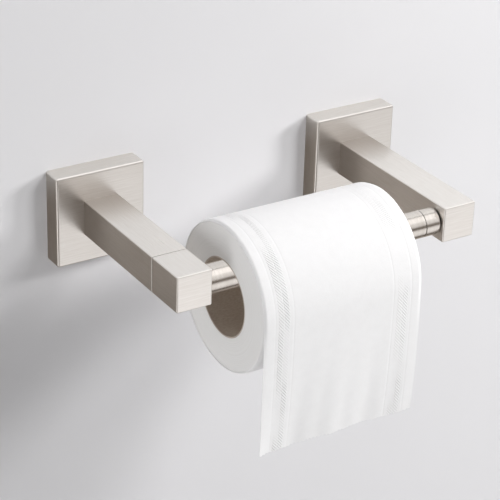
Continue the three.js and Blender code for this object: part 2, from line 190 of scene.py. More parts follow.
def add_rod(name, axis, radius, start, end, sides=48):
    """A round rod along an axis, between two points that differ only along it."""
    nothing_selected()
    turn_to = {0: (0, math.pi / 2, 0), 1: (math.pi / 2, 0, 0), 2: (0, 0, 0)}[axis]
    bpy.ops.mesh.primitive_cylinder_add(
        vertices=sides,
        radius=radius,
        depth=abs(end[axis] - start[axis]),
        location=(Vector(start) + Vector(end)) / 2,
        rotation=turn_to,
    )
    piece = bpy.context.object
    piece.name = name
    bpy.ops.object.transform_apply(location=True, rotation=True, scale=True)
    return piece


# %% Shaping tools
def round_edges(piece, radius, wanted, steps=4):
    """Rolls a bevel along the wanted edges."""
    with editing(piece):
        pick(piece, "EDGE", wanted)
        bpy.ops.mesh.bevel(offset=radius, segments=steps, affect="EDGES", clamp_overlap=True)


def hollow_out(piece, wanted, wall, move):
    """Insets the wanted face by the wall's thickness and pushes the middle in."""
    with editing(piece):
        pick(piece, "FACE", wanted)
        bpy.ops.mesh.inset(thickness=wall, use_even_offset=True)
        bpy.ops.mesh.extrude_region_move(TRANSFORM_OT_translate={"value": move})


def use_modifier(piece, kind, **settings):
    """Adds a modifier with its settings and applies it."""
    work_on(piece)
    bpy.ops.object.modifier_add(type=kind)
    modifier = piece.modifiers[-1]
    for setting, value in settings.items():
        setattr(modifier, setting, value)
    bpy.ops.object.modifier_apply(modifier=modifier.name)


def cut_away(piece, cutter):
    """Takes the cutter's shape out of the piece, and the cutter with it."""
    use_modifier(piece, "BOOLEAN", operation="DIFFERENCE", solver="EXACT", object=cutter)
    bpy.data.objects.remove(cutter)


def drill(piece, axis, radius, middle, start, end, sides=48):
    """Drills a hole through a middle, along an axis, from one place on that axis to another."""
    first, last = Vector(middle), Vector(middle)
    first[axis] = start
    last[axis] = end
    cut_away(piece, add_rod("drill", axis, radius, first, last, sides))


def smooth_shading(piece, sharpest=35):
    """Shades gentle bends as smooth and keeps the flats flat."""
    work_on(piece)
    bpy.ops.object.shade_smooth_by_angle(angle=math.radians(sharpest))
    use_modifier(piece, "WEIGHTED_NORMAL", keep_sharp=True)


# %% Turned pieces
def turned(name, outline, centre, steps=96):
    """A lathe's work about a line along X: outline is a closed run of (x, radius) pairs."""
    nothing_selected()
    places = [Vector((x, centre.y, centre.z + radius)) for x, radius in [*outline, outline[0]]]
    bpy.ops.mesh.primitive_plane_add(size=MM)
    piece = bpy.context.object
    piece.name = name
    bpy.ops.object.mode_set(mode="EDIT")
    bpy.ops.mesh.select_mode(type="VERT")
    bpy.ops.mesh.select_all(action="SELECT")
    bpy.ops.mesh.merge(type="CENTER")
    bpy.ops.transform.translate(value=places[0])
    for here, there in zip(places, places[1:]):
        bpy.ops.mesh.extrude_vertices_move(TRANSFORM_OT_translate={"value": there - here})
    bpy.ops.mesh.select_all(action="SELECT")
    bpy.ops.mesh.remove_doubles(threshold=NEAR)
    bpy.ops.mesh.spin(steps=steps, angle=2 * math.pi, center=centre, axis=(1, 0, 0))
    bpy.ops.mesh.select_all(action="SELECT")
    bpy.ops.mesh.remove_doubles(threshold=NEAR)
    bpy.ops.mesh.normals_make_consistent(inside=False)
    bpy.ops.object.mode_set(mode="OBJECT")
    return piece


def radius_about(centre):
    """A function that gives an edge's distance from a line along X."""
    def radius(edge):
        middle = (edge.verts[0].co + edge.verts[1].co) / 2
        return math.hypot(middle.y - centre.y, middle.z - centre.z)
    return radius


# %% [markdown]
# ## Node trees as sums
# A shader's arithmetic is easier to read as an expression than as a chain of boxes. Number wraps a socket
# and lends it Python's operators, and each operator adds one Math node. Every other node comes from one
# method, which takes the node's type, its settings and its inputs.

# %% Numbers and node trees
class Number:
    """A number that changes over a surface: arithmetic on it adds Math nodes."""

    def __init__(self, tree, socket):
        self.tree = tree
        self.socket = socket

    def math(self, operation, first, second=0.0):
        made = self.tree.node("Math", {"operation": operation}, {0: first, 1: second})
        return Number(self.tree, made.outputs[0])

    def apply(self, operation):
        """An operation on this number alone, such as SQRT."""
        return self.math(operation, self)

    def __add__(self, other):
        return self.math("ADD", self, other)

    def __radd__(self, other):
        return self.math("ADD", other, self)

    def __sub__(self, other):
        return self.math("SUBTRACT", self, other)

    def __rsub__(self, other):
        return self.math("SUBTRACT", other, self)

    def __mul__(self, other):
        return self.math("MULTIPLY", self, other)

    def __truediv__(self, other):
        return self.math("DIVIDE", self, other)

    def wave(self):
        """Rises and falls between 0 and 1, once for each whole number."""
        return (self * (2 * math.pi)).apply("SINE") * 0.5 + 0.5

    def step(self, start, end):
        """Goes smoothly from 0 at start to 1 at end."""
        settings = {"interpolation_type": "SMOOTHSTEP"}
        inputs = {"Value": self, "From Min": start, "From Max": end, "To Min": 0.0, "To Max": 1.0}
        return Number(self.tree, self.tree.node("MapRange", settings, inputs).outputs[0])


class Tree:
    """A node tree, and the one method that adds a node to it."""

    def __init__(self, owner):
        owner.use_nodes = True
        self.nodes = owner.node_tree.nodes
        self.links = owner.node_tree.links
        self.nodes.clear()

    def node(self, kind, settings=None, inputs=None):
        made = self.nodes.new("ShaderNode" + kind)
        for name, value in (settings or {}).items():
            if name == "stops":
                set_stops(made.color_ramp, value)
            else:
                setattr(made, name, value)
        for name, value in (inputs or {}).items():
            source = value.socket if isinstance(value, Number) else value
            if isinstance(source, bpy.types.NodeSocket):
                self.links.new(source, made.inputs[name])
            else:
                made.inputs[name].default_value = source
        return made

    def number(self, kind, output=0, settings=None, inputs=None):
        return Number(self, self.node(kind, settings, inputs).outputs[output])

    def axes(self, vector):
        """The X, Y and Z of a vector, as three numbers."""
        split = self.node("SeparateXYZ", {}, {"Vector": vector})
        return [Number(self, output) for output in split.outputs]

    def blend(self, amount, first, second):
        """Goes from the first colour to the second as amount goes from 0 to 1."""
        made = self.node("Mix", {"data_type": "RGBA"}, {0: amount, 6: first, 7: second})
        return made.outputs[2]


def set_stops(ramp, stops):
    """Gives a colour ramp its stops, as (place, grey) pairs."""
    while len(ramp.elements) < len(stops):
        ramp.elements.new(1.0)
    for element, (place, grey) in zip(ramp.elements, stops):
        element.position = place
        element.color = (grey, grey, grey, 1)


# %% A finish is a material
class Finish(Tree):
    """A material made of one shader and the patterns that feed it."""

    def __init__(self, name):
        self.material = bpy.data.materials.new(name)
        super().__init__(self.material)
        self.place = self.node("TexCoord").outputs["Object"]

    def place_from(self, middle):
        """The X, Y and Z of a place on the surface, measured from a middle."""
        inputs = {"Vector": self.place, "Location": -middle}
        return self.axes(self.node("Mapping", {}, inputs).outputs[0])

    def noise(self, grains, detail=2.0):
        """Noise between 0 and 1: grains per metre is one number, or one each for X, Y and Z."""
        scale = [grains] * 3 if isinstance(grains, int) else grains
        stretched = self.node("Mapping", {}, {"Vector": self.place, "Scale": scale}).outputs[0]
        return self.number("TexNoise", "Fac", {}, {"Vector": stretched, "Scale": 1.0, "Detail": detail})

    def relief(self, height, depth):
        """A normal that tilts as if the surface rose by depth metres where height is 1."""
        return self.node("Bump", {}, {"Height": height, "Distance": depth}).outputs["Normal"]

    def surface(self, inputs):
        shader = self.node("BsdfPrincipled", {}, inputs)
        self.node("OutputMaterial", {}, {"Surface": shader.outputs[0]})
        return self.material


def rgb(red, green, blue):
    """A colour for a node, in linear light."""
    return (red, green, blue, 1.0)


# %% [markdown]
# ## Brushed nickel
# The maker grinds each flat with an abrasive belt, then plates it with nickel. The belt leaves fine
# parallel scratches, so the metal looks smooth along them and rough across them. Noise that is stretched
# about thirty times along the scratches gives that. The belt runs along each post and across each flange,
# so the material is made once for each axis, and the faces pick theirs by the way that they look. The posts
# have a set of their own, with painted shade: their colour darkens towards the root, standing in for the
# dark corner where a post meets its flange, and they turn a little rougher there. The flanges' colour is
# painted one even shade darker, as painted shade for the darker greys of their faces.

# %% Brushed nickel
# Painted shade on the posts: their colour darkens towards the root, for the dark corner by the flange.
root_shade_reach = 34 * MM  # how far from the flange the painted shade at the posts' roots reaches
root_painted_shade = 0.52
# Painted shade on the flanges: their whole colour is darkened evenly.
flange_painted_shade = 0.14


def brushed_nickel(axis, piece, corner=None):
    """Nickel scratched along one axis (0, 1 or 2), with painted shade, and more roughness, towards a corner at
    this Y.
    """
    finish = Finish(piece + "_nickel_along_" + "xyz"[axis])

    def scratches(along, across, detail):
        scale = [across] * 3
        scale[axis] = along
        return finish.noise(scale, detail)

    hairlines = scratches(110, 3800, 2)
    streaks = scratches(40, 1100, 3)
    clouds = finish.noise(45, 2)
    tone = (streaks * 0.3 + hairlines * 0.5 + clouds * 0.2).step(0.25, 0.75)
    colour = finish.blend(tone, rgb(0.715, 0.688, 0.660), rgb(0.825, 0.806, 0.786))
    roughness = 0.22 + streaks * 0.08 + clouds * 0.10
    if corner is None:
        # Painted shade: the flange's colour is darkened evenly, for the darker greys that its faces show.
        colour = finish.blend(flange_painted_shade, colour, rgb(0.10, 0.08, 0.06))
    else:
        # Painted shade: the colour darkens towards the root, standing in for the dark corner by the flange; the
        # same mask adds roughness.
        root_shade_and_roughness = finish.axes(finish.place)[1].step(corner - root_shade_reach, corner) * (0.7 + clouds * 0.6)
        colour = finish.blend(root_shade_and_roughness * root_painted_shade, colour, rgb(0.30, 0.25, 0.21))
        roughness = roughness + root_shade_and_roughness * 0.06
    return finish.surface({
        "Base Color": colour,
        "Metallic": 1.0,
        "Roughness": roughness,
        "Normal": finish.relief(hairlines * 0.8 + streaks * 0.2, 0.00003),
    })


flange_nickel = [brushed_nickel(axis, "flange") for axis in range(3)]
post_nickel = [brushed_nickel(axis, "post", corner=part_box("left_post")[1].y) for axis in range(3)]
print("made", [material.name for material in flange_nickel + post_nickel])

# %% [markdown]
# The bar is turned and buffed on a lathe, so it is glossier than the posts, a little darker, and carries
# only faint rings. These are noise stretched the other way: fine along the bar and coarse across it.

# %% Satin nickel of the bar
def satin_nickel():
    finish = Finish("satin_nickel_turned")
    rings = finish.noise((4200, 60, 60), 2)
    bands = finish.noise((500, 25, 25), 2)
    smudges = finish.noise(70, 3)
    tone = (bands * 0.5 + smudges * 0.5).step(0.15, 0.85)
    return finish.surface({
        "Base Color": finish.blend(tone, rgb(0.56, 0.525, 0.49), rgb(0.67, 0.64, 0.61)),
        "Metallic": 1.0,
        "Roughness": 0.20 + rings * 0.04 + smudges * 0.03,
        "Normal": finish.relief(rings, 0.000003),
    })


bar_finish = satin_nickel()

# %% [markdown]
# ## Hardware finishes
# The screws and brackets are bought in: bright zinc plate with a cloudy, faintly blue and yellow sheen,
# black oxide on the set screws, die-cast zinc with a sandy skin, and spring steel. One function makes them
# all, because they differ only in colour, gloss and the size of their grain.

# %% Hardware finishes
def metal(name, dark, light, roughness, grain, depth):
    """A mottled metal: grain is the number of specks per metre, depth how deep its skin is."""
    finish = Finish(name)
    mottle = finish.noise([grain / 6] * 3, 3)
    specks = finish.noise(grain, 2)
    return finish.surface({
        "Base Color": finish.blend(mottle.step(0.3, 0.7), dark, light),
        "Metallic": 1.0,
        "Roughness": roughness + mottle * 0.12 + specks * 0.05,
        "Normal": finish.relief(specks, depth),
    })


hardware = {
    "zinc_plated_steel": metal(
        "zinc_plate", rgb(0.50, 0.52, 0.55), rgb(0.66, 0.66, 0.62), 0.26, 900, 0.00002
    ),
    "spring_steel": metal(
        "spring_steel", rgb(0.40, 0.40, 0.41), rgb(0.52, 0.52, 0.53), 0.22, 1800, 0.00001
    ),
    "black_steel": metal(
        "black_oxide", rgb(0.03, 0.03, 0.032), rgb(0.07, 0.07, 0.07), 0.36, 1500, 0.00001
    ),
    "die_cast_zinc": metal(
        "die_cast_zinc", rgb(0.30, 0.31, 0.32), rgb(0.42, 0.43, 0.44), 0.44, 2500, 0.00004
    ),
    "bronze": metal(
        "oiled_bronze", rgb(0.42, 0.24, 0.09), rgb(0.60, 0.38, 0.16), 0.28, 1600, 0.00001
    ),
}


# %% Moulded plastic of the wall plugs
def moulded_plastic():
    finish = Finish("grey_nylon")
    flow = finish.noise((120, 40, 120), 2)
    specks = finish.noise(2600, 2)
    return finish.surface({
        "Base Color": finish.blend(flow.step(0.3, 0.7), rgb(0.34, 0.36, 0.38), rgb(0.42, 0.44, 0.46)),
        "Roughness": 0.5 + specks * 0.15,
        "Normal": finish.relief(specks, 0.00002),
    })


hardware["grey_plastic"] = moulded_plastic()

# %% [markdown]
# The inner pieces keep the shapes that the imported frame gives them, because their fit is settled there.
# Only their material changes. The record says which finish each node has.

# %% Dress the inner pieces
slot_of = {part["node"]: part["material_slot"] for part in frame["record"]["subparts"]}
for node, piece in frame["nodes"].items():
    if slot_of[node] in hardware:
        for place in piece.material_slots:
            place.material = hardware[slot_of[node]]
print("dressed", sum(slot in hardware for slot in slot_of.values()), "inner pieces")

# %% [markdown]
# ## Flanges
# A flange is drawn from sheet as a shallow square cup and slipped over its bracket. It is a box here: all
# its edges but those at the wall are rolled round, then the back face is inset by the wall's thickness and
# the middle is pushed in. Two holes are drilled, one for the post's screw and one underneath for the set
# screw.

# %% Finishing a piece
def dress_by_direction(piece, nickels, along):
    """Gives faces their nickel: a face that looks along X gets scratches along axis along[0], and so on."""
    for material in nickels:
        piece.data.materials.append(material)
    for face in piece.data.polygons:
        looks = max(range(3), key=lambda axis: abs(face.normal[axis]))
        face.material_index = along[looks]


def put_on(piece, body, slot, *nodes):
    """Hands a finished piece to the frame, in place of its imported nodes, and says what was made."""
    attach(piece, body)
    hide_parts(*nodes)
    corners = [Vector(corner) for corner in piece.bound_box]
    sides = [round((max(c[i] for c in corners) - min(c[i] for c in corners)) / MM, 1) for i in range(3)]
    print(piece.name, "has", len(piece.data.polygons), "faces and measures", sides, "mm")


def copy_of(piece, name, shift):
    """A copy with its own mesh, moved in its mesh."""
    work_on(piece)
    bpy.ops.object.duplicate(linked=False)
    made = bpy.context.object
    made.name = name
    made.location = shift
    bpy.ops.object.transform_apply(location=True, rotation=False, scale=False)
    return made


# %% Flanges
flange_low, flange_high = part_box("left_flange")
post_low, post_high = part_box("left_post")
set_screw_low, set_screw_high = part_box("left_flange_set_screw")
flange_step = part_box("right_flange")[0] - flange_low
flange_wall = 2 * MM
flange_front = 2.5 * MM
flange_edge = 1.4 * MM
screw_clearance = 0.3 * MM
post_screw_hole = 2.8 * MM
outside = 5 * MM  # how far off the surface a drill starts

flange_middle = (flange_low + flange_high) / 2
left_flange = add_box("left_flange_cover", flange_low, flange_high)
hollow_out(
    left_flange,
    face_towards(1, 1),
    flange_wall,
    (0, flange_low.y + flange_front - flange_high.y, 0),
)
at_the_wall = edge_in_plane(1, flange_high.y)
on_its_box = edge_of_box(flange_low, flange_high)
round_edges(left_flange, flange_edge, lambda edge: on_its_box(edge) and not at_the_wall(edge), steps=5)

set_screw_middle = (set_screw_low + set_screw_high) / 2
set_screw_hole = (set_screw_high.x - set_screw_low.x) / 2 + screw_clearance
below = set_screw_middle.z - 2 * outside
drill(left_flange, 2, set_screw_hole, set_screw_middle, below, set_screw_middle.z)
drill(left_flange, 1, post_screw_hole, flange_middle, flange_low.y - outside, flange_low.y + outside)

dress_by_direction(left_flange, flange_nickel, along=(2, 0, 0))
smooth_shading(left_flange)
right_flange = copy_of(left_flange, "right_flange_cover", flange_step)
put_on(left_flange, "wall_side", "brushed_nickel", "left_flange")
put_on(right_flange, "wall_side", "brushed_nickel", "right_flange")

# %% [markdown]
# ## Posts
# Each post is a square tube. The left one ends at a seam, where a turning block carries on its line, and
# its open end holds the pivot. The edges are eased by the polishing wheel, and both rims at the seam have a
# small chamfer, which catches the light as one thin line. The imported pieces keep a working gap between
# them; here the root meets its flange, as on the real holder, and the seam keeps its hair's width.

# %% Left post
post_edge = 0.8 * MM
post_wall = 2 * MM
post_root_wall = 6 * MM
root_hole_depth = 9 * MM
seam_chamfer = 0.55 * MM

post_high.y = flange_low.y
left_post = add_box("left_post_tube", post_low, post_high)
hollow_out(
    left_post,
    face_towards(1, -1),
    post_wall,
    (0, post_high.y - post_low.y - post_root_wall, 0),
)
post_middle = (post_low + post_high) / 2
lengthways = edge_along(1)
on_its_box = edge_of_box(post_low, post_high)
round_edges(left_post, post_edge, lambda edge: lengthways(edge) and on_its_box(edge))
at_the_end = edge_in_plane(1, post_low.y)
inner_reach = (post_high.x - post_low.x) / 2 - post_wall / 2


def on_outer_rim(edge):
    """The end's outer outline is farther out than the middle of the wall."""
    out = (edge.verts[0].co + edge.verts[1].co) / 2 - post_middle
    return at_the_end(edge) and max(abs(out.x), abs(out.z)) > inner_reach


round_edges(left_post, seam_chamfer, on_outer_rim, steps=1)
behind_root = post_high.y + outside
inside_root = post_high.y - root_hole_depth
drill(left_post, 1, post_screw_hole, post_middle, behind_root, inside_root)
dress_by_direction(left_post, post_nickel, along=(1, 0, 1))
smooth_shading(left_post)
put_on(left_post, "wall_side", "brushed_nickel", "left_post")

# %% [markdown]
# The right post is one tube with a closed end. A hole in its inner side holds the small hollow seat in
# which the bar's spring catch comes to rest.

# %% Right post
right_low, right_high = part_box("right_post")
right_high.y = flange_low.y
right_middle = (right_low + right_high) / 2
seat_low, seat_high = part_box("catch_seat")
seat_middle = (seat_low + seat_high) / 2
seat_radius = (seat_high.z - seat_low.z) / 2
seat_clearance = 0.1 * MM

right_post = add_box("right_post_tube", right_low, right_high)
at_the_root = edge_in_plane(1, right_high.y)
round_edges(right_post, post_edge, lambda edge: not at_the_root(edge))
inside_low = right_low + Vector((post_wall, post_wall, post_wall))
inside_high = right_high - Vector((post_wall, post_root_wall, post_wall))
cut_away(right_post, add_box("hollow", inside_low, inside_high))
drill(right_post, 0, seat_radius + seat_clearance, seat_middle, seat_high.x - 2 * outside, seat_high.x)
drill(right_post, 1, post_screw_hole, right_middle, behind_root, inside_root)
dress_by_direction(right_post, post_nickel, along=(1, 0, 1))
smooth_shading(right_post)
put_on(right_post, "wall_side", "brushed_nickel", "right_post")

# %% [markdown]
# ## Turning block
# The block at the end of the left post is solid. It has a shallow socket that hides the bar's end, a hole
# for the bar's stud, a threaded hole for the pivot bolt, and a curved groove in its back. The stop pin runs
# in that groove and ends the bar's swing. The groove's cutter is a thin upright box over the pivot. Its two
# sides are spun outwards, each by half the bar's quarter turn and the room that the pin takes.

# %% Turning block
block_low, block_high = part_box("pivot_block")
tube_low, tube_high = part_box("bar_tube")
pin_low, pin_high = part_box("pivot_stop_pin")
bolt_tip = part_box("pivot_bolt")[0].y
stud_low, stud_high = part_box("bar_stud")
bar_radius = (tube_high.z - tube_low.z) / 2
bar_middle = (tube_low + tube_high) / 2
running_gap = 0.3 * MM
bolt_hole = 3.2 * MM
socket_floor = tube_low.x - running_gap
past_socket = socket_floor + 15 * MM

block = add_box("turning_block", block_low, block_high)
at_the_seam = edge_in_plane(1, block_high.y)
round_edges(block, post_edge, lambda edge: not at_the_seam(edge))
round_edges(block, seam_chamfer / 2, at_the_seam, steps=1)

drill(block, 0, bar_radius + running_gap, bar_middle, socket_floor, past_socket, sides=64)
stud_hole = (stud_high.z - stud_low.z) / 2 + running_gap
drill(block, 0, stud_hole, bar_middle, stud_low.x - running_gap, socket_floor + outside)
pivot = Vector(next(joint["pos_m"] for joint in frame["joints"] if joint["name"] == "bar_pivot"))
drill(block, 1, bolt_hole, pivot, bolt_tip - running_gap, block_high.y + outside)

# %% The stop pin's groove
pin_middle = (pin_low + pin_high) / 2
pin_radius = (pin_high.x - pin_low.x) / 2
groove_half = pin_radius + running_gap
from_pivot = math.hypot(pin_middle.x - pivot.x, pin_middle.z - pivot.z)
half_swing = math.radians(45)  # of the bar's quarter turn
thin = 0.05 * MM
groove_low = Vector((pivot.x - thin, pin_low.y - running_gap, pivot.z + from_pivot - groove_half))
groove_high = Vector((pivot.x + thin, block_high.y + MM, pivot.z + from_pivot + groove_half))
reach = half_swing + math.asin(groove_half / from_pivot)

groove = add_box("groove_cutter", groove_low, groove_high)
with editing(groove):
    for way in (1, -1):
        pick(groove, "FACE", face_towards(0, way))
        bpy.ops.mesh.spin(steps=9, angle=reach, center=pivot, axis=(0, -way, 0))
    bpy.ops.mesh.select_all(action="SELECT")
    bpy.ops.mesh.normals_make_consistent(inside=False)
print("groove cutter spans", [round(side / MM, 1) for side in groove.dimensions], "mm")
cut_away(block, groove)
dress_by_direction(block, post_nickel, along=(1, 0, 1))
smooth_shading(block)
put_on(block, "bar_arm", "brushed_nickel", "pivot_block")

# %% [markdown]
# ## Bar
# The bar is a thin tube closed by an end cap, which is pressed in and shows as a fine groove round the bar.
# Both are turned on a lathe, so each is drawn as half a section and spun round the bar's own centre line.

# %% Bar tube
bar_wall = 1.2 * MM
tube_chamfer = 0.2 * MM
bar_tube = turned(
    "bar_sleeve",
    [
        (tube_low.x, bar_radius - bar_wall),
        (tube_low.x, bar_radius),
        (tube_high.x - tube_chamfer, bar_radius),
        (tube_high.x, bar_radius - tube_chamfer),
        (tube_high.x, bar_radius - bar_wall),
    ],
    bar_middle,
)
bar_tube.data.materials.append(bar_finish)
smooth_shading(bar_tube)
put_on(bar_tube, "bar_arm", "satin_nickel", "bar_tube")

# %% Bar end cap
cap_low, cap_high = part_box("bar_end_cap")
plunger_low, plunger_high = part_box("catch_plunger")
spigot_radius = bar_radius - bar_wall - running_gap
front_bore = 2.5 * MM
front_bore_depth = 4 * MM
rear_bore = (plunger_high.z - plunger_low.z) / 2 + running_gap
joint = tube_high.x + running_gap
bore_step = cap_high.x - front_bore_depth
nose_edge = 1.0 * MM

end_cap = turned(
    "bar_nose",
    [
        (cap_low.x, rear_bore),
        (cap_low.x, spigot_radius),
        (joint, spigot_radius),
        (joint, bar_radius - tube_chamfer),
        (joint + tube_chamfer, bar_radius),
        (cap_high.x, bar_radius),
        (cap_high.x, front_bore),
        (bore_step, front_bore),
        (bore_step, rear_bore),
    ],
    bar_middle,
)
bar_distance = radius_about(bar_middle)
at_the_nose = edge_in_plane(0, cap_high.x)
rim = bar_radius - 0.1 * MM  # the nose's edges beyond this are its outer rim
round_edges(
    end_cap,
    nose_edge,
    lambda edge: at_the_nose(edge) and bar_distance(edge) > rim,
    steps=5,
)
end_cap.data.materials.append(bar_finish)
smooth_shading(end_cap)
put_on(end_cap, "bar_arm", "satin_nickel", "bar_end_cap")

# %% [markdown]
# ## Cardboard core
# The core is a strip of grey-brown board wound in a spiral and glued. It is turned here as a plain ring
# with softened rims. The spiral's seam is a thin line in the material: a point's angle round the core,
# counted in turns, is added to its place along the core, counted in strips. The line shows where the sum is
# a whole number.

# %% Cardboard
core_low, core_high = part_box("roll_core")
roll_middle = (core_low + core_high) / 2
half_length = (core_high.x - core_low.x) / 2
strip_width = 62 * MM
seam_share = 0.012  # of the strip's width
cut_end_start = half_length - 0.7 * MM
cut_end_full = half_length - 0.3 * MM


def cardboard():
    finish = Finish("wound_cardboard")
    x, y, z = finish.place_from(roll_middle)
    turns = y.math("ARCTAN2", y, z) / (2 * math.pi)
    place_in_strip = (x / strip_width + turns).apply("FRACT")
    seam = 1 - (place_in_strip - 0.5).apply("ABSOLUTE").step(0.0, seam_share)
    fibres = finish.noise((600, 1700, 1700), 3)
    stains = finish.noise(60, 2)
    board = finish.blend(fibres.step(0.25, 0.75), rgb(0.44, 0.365, 0.30), rgb(0.55, 0.48, 0.415))
    board = finish.blend(stains * 0.3, board, rgb(0.48, 0.40, 0.335))
    cut_end = x.apply("ABSOLUTE").step(cut_end_start, cut_end_full)
    board = finish.blend(cut_end, board, rgb(0.50, 0.43, 0.37))
    return finish.surface({
        "Base Color": finish.blend(seam * 0.4, board, rgb(0.24, 0.19, 0.15)),
        "Roughness": 0.75 + fibres * 0.2,
        "Normal": finish.relief(fibres * 0.5 - seam, 0.00012),
    })


# %% Core
core_bore = 21 * MM
core_radius = (core_high.z - core_low.z) / 2
core_edge = 0.25 * MM
core = turned(
    "core_tube",
    [
        (core_low.x, core_bore),
        (core_low.x, core_radius),
        (core_high.x, core_radius),
        (core_high.x, core_bore),
    ],
    roll_middle,
    steps=128,
)
core_rim = [edge_in_plane(0, core_low.x), edge_in_plane(0, core_high.x)]
core_distance = radius_about(roll_middle)


def on_core_rim(edge):
    """A rim's ring edges lie in an end plane, on the bore or on the outside."""
    middle_of_wall = (core_bore + core_radius) / 2
    return any(test(edge) for test in core_rim) and abs(core_distance(edge) - middle_of_wall) > core_edge


round_edges(core, core_edge, on_core_rim, steps=2)
core.data.materials.append(cardboard())
smooth_shading(core)
put_on(core, "roll", "cardboard", "roll_core")

# %% [markdown]
# ## Wound paper
# Below the loose sheet, the roll is hundreds of turns of soft paper. Its long side is hidden by the sheet,
# but its ends show every turn as a faint ring, and no two turns end quite at the same place. The outline
# therefore runs up each end in small steps that stand in and out by a few hundredths of a millimetre.

# %% Tissue paper
def fibre_relief(finish):
    """The soft surface of tissue: fine fibres, pressed here and there."""
    fibres = finish.noise(1400, 3)
    pressed = finish.noise(220, 3)
    return fibres * 0.5 + pressed * 0.5


def roll_end_paper():
    finish = Finish("wound_tissue_paper")
    y, z = finish.place_from(roll_middle)[1:]
    radius = (y * y + z * z).apply("SQRT") / MM
    outwards = finish.node("CombineXYZ", {}, {0: radius}).outputs[0]
    turns = finish.number("TexNoise", "Fac", {}, {"Vector": outwards, "Scale": 2.2, "Detail": 3.0})
    soft = fibre_relief(finish)
    shade = finish.blend(turns.step(0.25, 0.75), rgb(0.80, 0.79, 0.775), rgb(0.88, 0.875, 0.865))
    return finish.surface({
        "Base Color": shade,
        "Roughness": 0.9 + soft * 0.1,
        "Sheen Weight": 0.15,
        "Normal": finish.relief(turns * 0.6 + soft * 0.4, 0.00015),
    })


# %% Roll
paper_low, paper_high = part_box("paper_roll")
paper_radius = (paper_high.z - paper_low.z) / 2
core_gap = 0.05 * MM
paper_bore = core_radius + core_gap
paper_edge = 1.2 * MM
ring_step = 0.9 * MM
ring_depth = 0.08 * MM
uneven = np.random.default_rng(11)

flat_end = paper_radius - paper_edge
ring_radii = np.arange(paper_bore + ring_step, flat_end, ring_step)


def end_of_roll(x, inwards):
    """The outline of one end from the bore outwards: its rings and then its rounded edge."""
    rings = [(x + inwards * uneven.uniform(0, ring_depth), radius) for radius in ring_radii]
    quarter = np.linspace(0, math.pi / 2, 7)
    edge = [
        (x + inwards * paper_edge * (1 - math.cos(turn)), flat_end + paper_edge * math.sin(turn))
        for turn in quarter
    ]
    return [(x, paper_bore), *rings, *edge]


left_end = end_of_roll(paper_low.x, 1)
right_end = end_of_roll(paper_high.x, -1)
wound_paper = turned("wound_paper", [*left_end, *reversed(right_end)], roll_middle, steps=128)
wound_paper.data.materials.append(roll_end_paper())
smooth_shading(wound_paper)
put_on(wound_paper, "roll", "tissue_paper", "paper_roll")

# %% [markdown]
# ## Loose sheet
# The sheet that hangs down is the roll's outermost turn. It is one strip, so it is made as one: it starts
# behind its own hanging end, runs under the roll, up its back, over the top, and down in front to the torn
# edge. A flat grid is laid along that path. A few soft waves, growing towards the free end, keep it from
# looking like card. The tear follows small teeth. Solidify gives it the thickness of two plies at the end.

# %% Path of the sheet
sheet_low, sheet_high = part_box("loose_sheet")
sheet_thickness = 0.3 * MM
wrap_inset = 0.2 * MM  # room for half the thickness
wrap_radius = sheet_high.z - roll_middle.z - wrap_inset
hidden_start = math.radians(7)  # of the turn, behind the hanging end
wrap_length = wrap_radius * (2 * math.pi - hidden_start)
tail_length = roll_middle.z - sheet_low.z
tail_curl = 3 * MM  # how far the torn edge hangs back towards the wall
sheet_width = sheet_high.x - sheet_low.x


def sheet_place(along):
    """The (y, z) of a point this far along the strip, and the strip's outward direction there."""
    on_roll = np.minimum(along, wrap_length)
    turn = on_roll / wrap_radius + hidden_start - math.pi
    y = roll_middle.y + wrap_radius * np.cos(turn)
    z = roll_middle.z + wrap_radius * np.sin(turn)
    fallen = np.maximum(along - wrap_length, 0)
    share = np.clip(fallen / tail_length, 0, 1)
    y = y + tail_curl * (3 / 8 * (1 - share) * share**2 + share**3)
    return y, z - fallen, np.cos(turn), np.sin(turn)


# %% Torn edge
def wave_along(places, height, period, start):
    """A sine wave of this height and period, over a run of places."""
    return height * np.sin(2 * np.pi * places / period + start)


tear = np.random.default_rng(5)
columns = 201
sheet_x = np.linspace(sheet_low.x, sheet_high.x, columns)
tooth = 2.3 * MM
tooth_depth = 0.85 * MM
least_torn = 0.4 * MM

tooth_place = (sheet_x - sheet_low.x) / tooth
tooth_shape = np.abs((tooth_place % 1) - 0.5) * 2
tooth_size = tear.uniform(0.3, 1.0, int(tooth_place[-1]) + 2)[tooth_place.astype(int)]
wander = wave_along(sheet_x, 0.25 * MM, 31 * MM, 1.0) + wave_along(sheet_x, 0.15 * MM, 9 * MM, 2.5)
torn_back = tooth_depth * tooth_shape * tooth_size + least_torn + wander
print("the tear stands back by up to", round(float(torn_back.max()) / MM, 2), "mm")

# %% Grid of the sheet
def near_edge(distance, height, width):
    """A lift that is greatest at an edge and dies away from it."""
    return height * np.exp(-distance / width)


wrap_rows = np.linspace(0, wrap_length, 125)
tail_rows = np.linspace(0, 1, 46)[1:]
strip_along = np.concatenate([
    np.repeat(wrap_rows[:, None], columns, axis=1),
    wrap_length + tail_rows[:, None] * (tail_length - torn_back)[None, :],
])
strip_across = np.repeat(sheet_x[None, :], len(strip_along), axis=0)
place_y, place_z, out_y, out_z = sheet_place(strip_along)

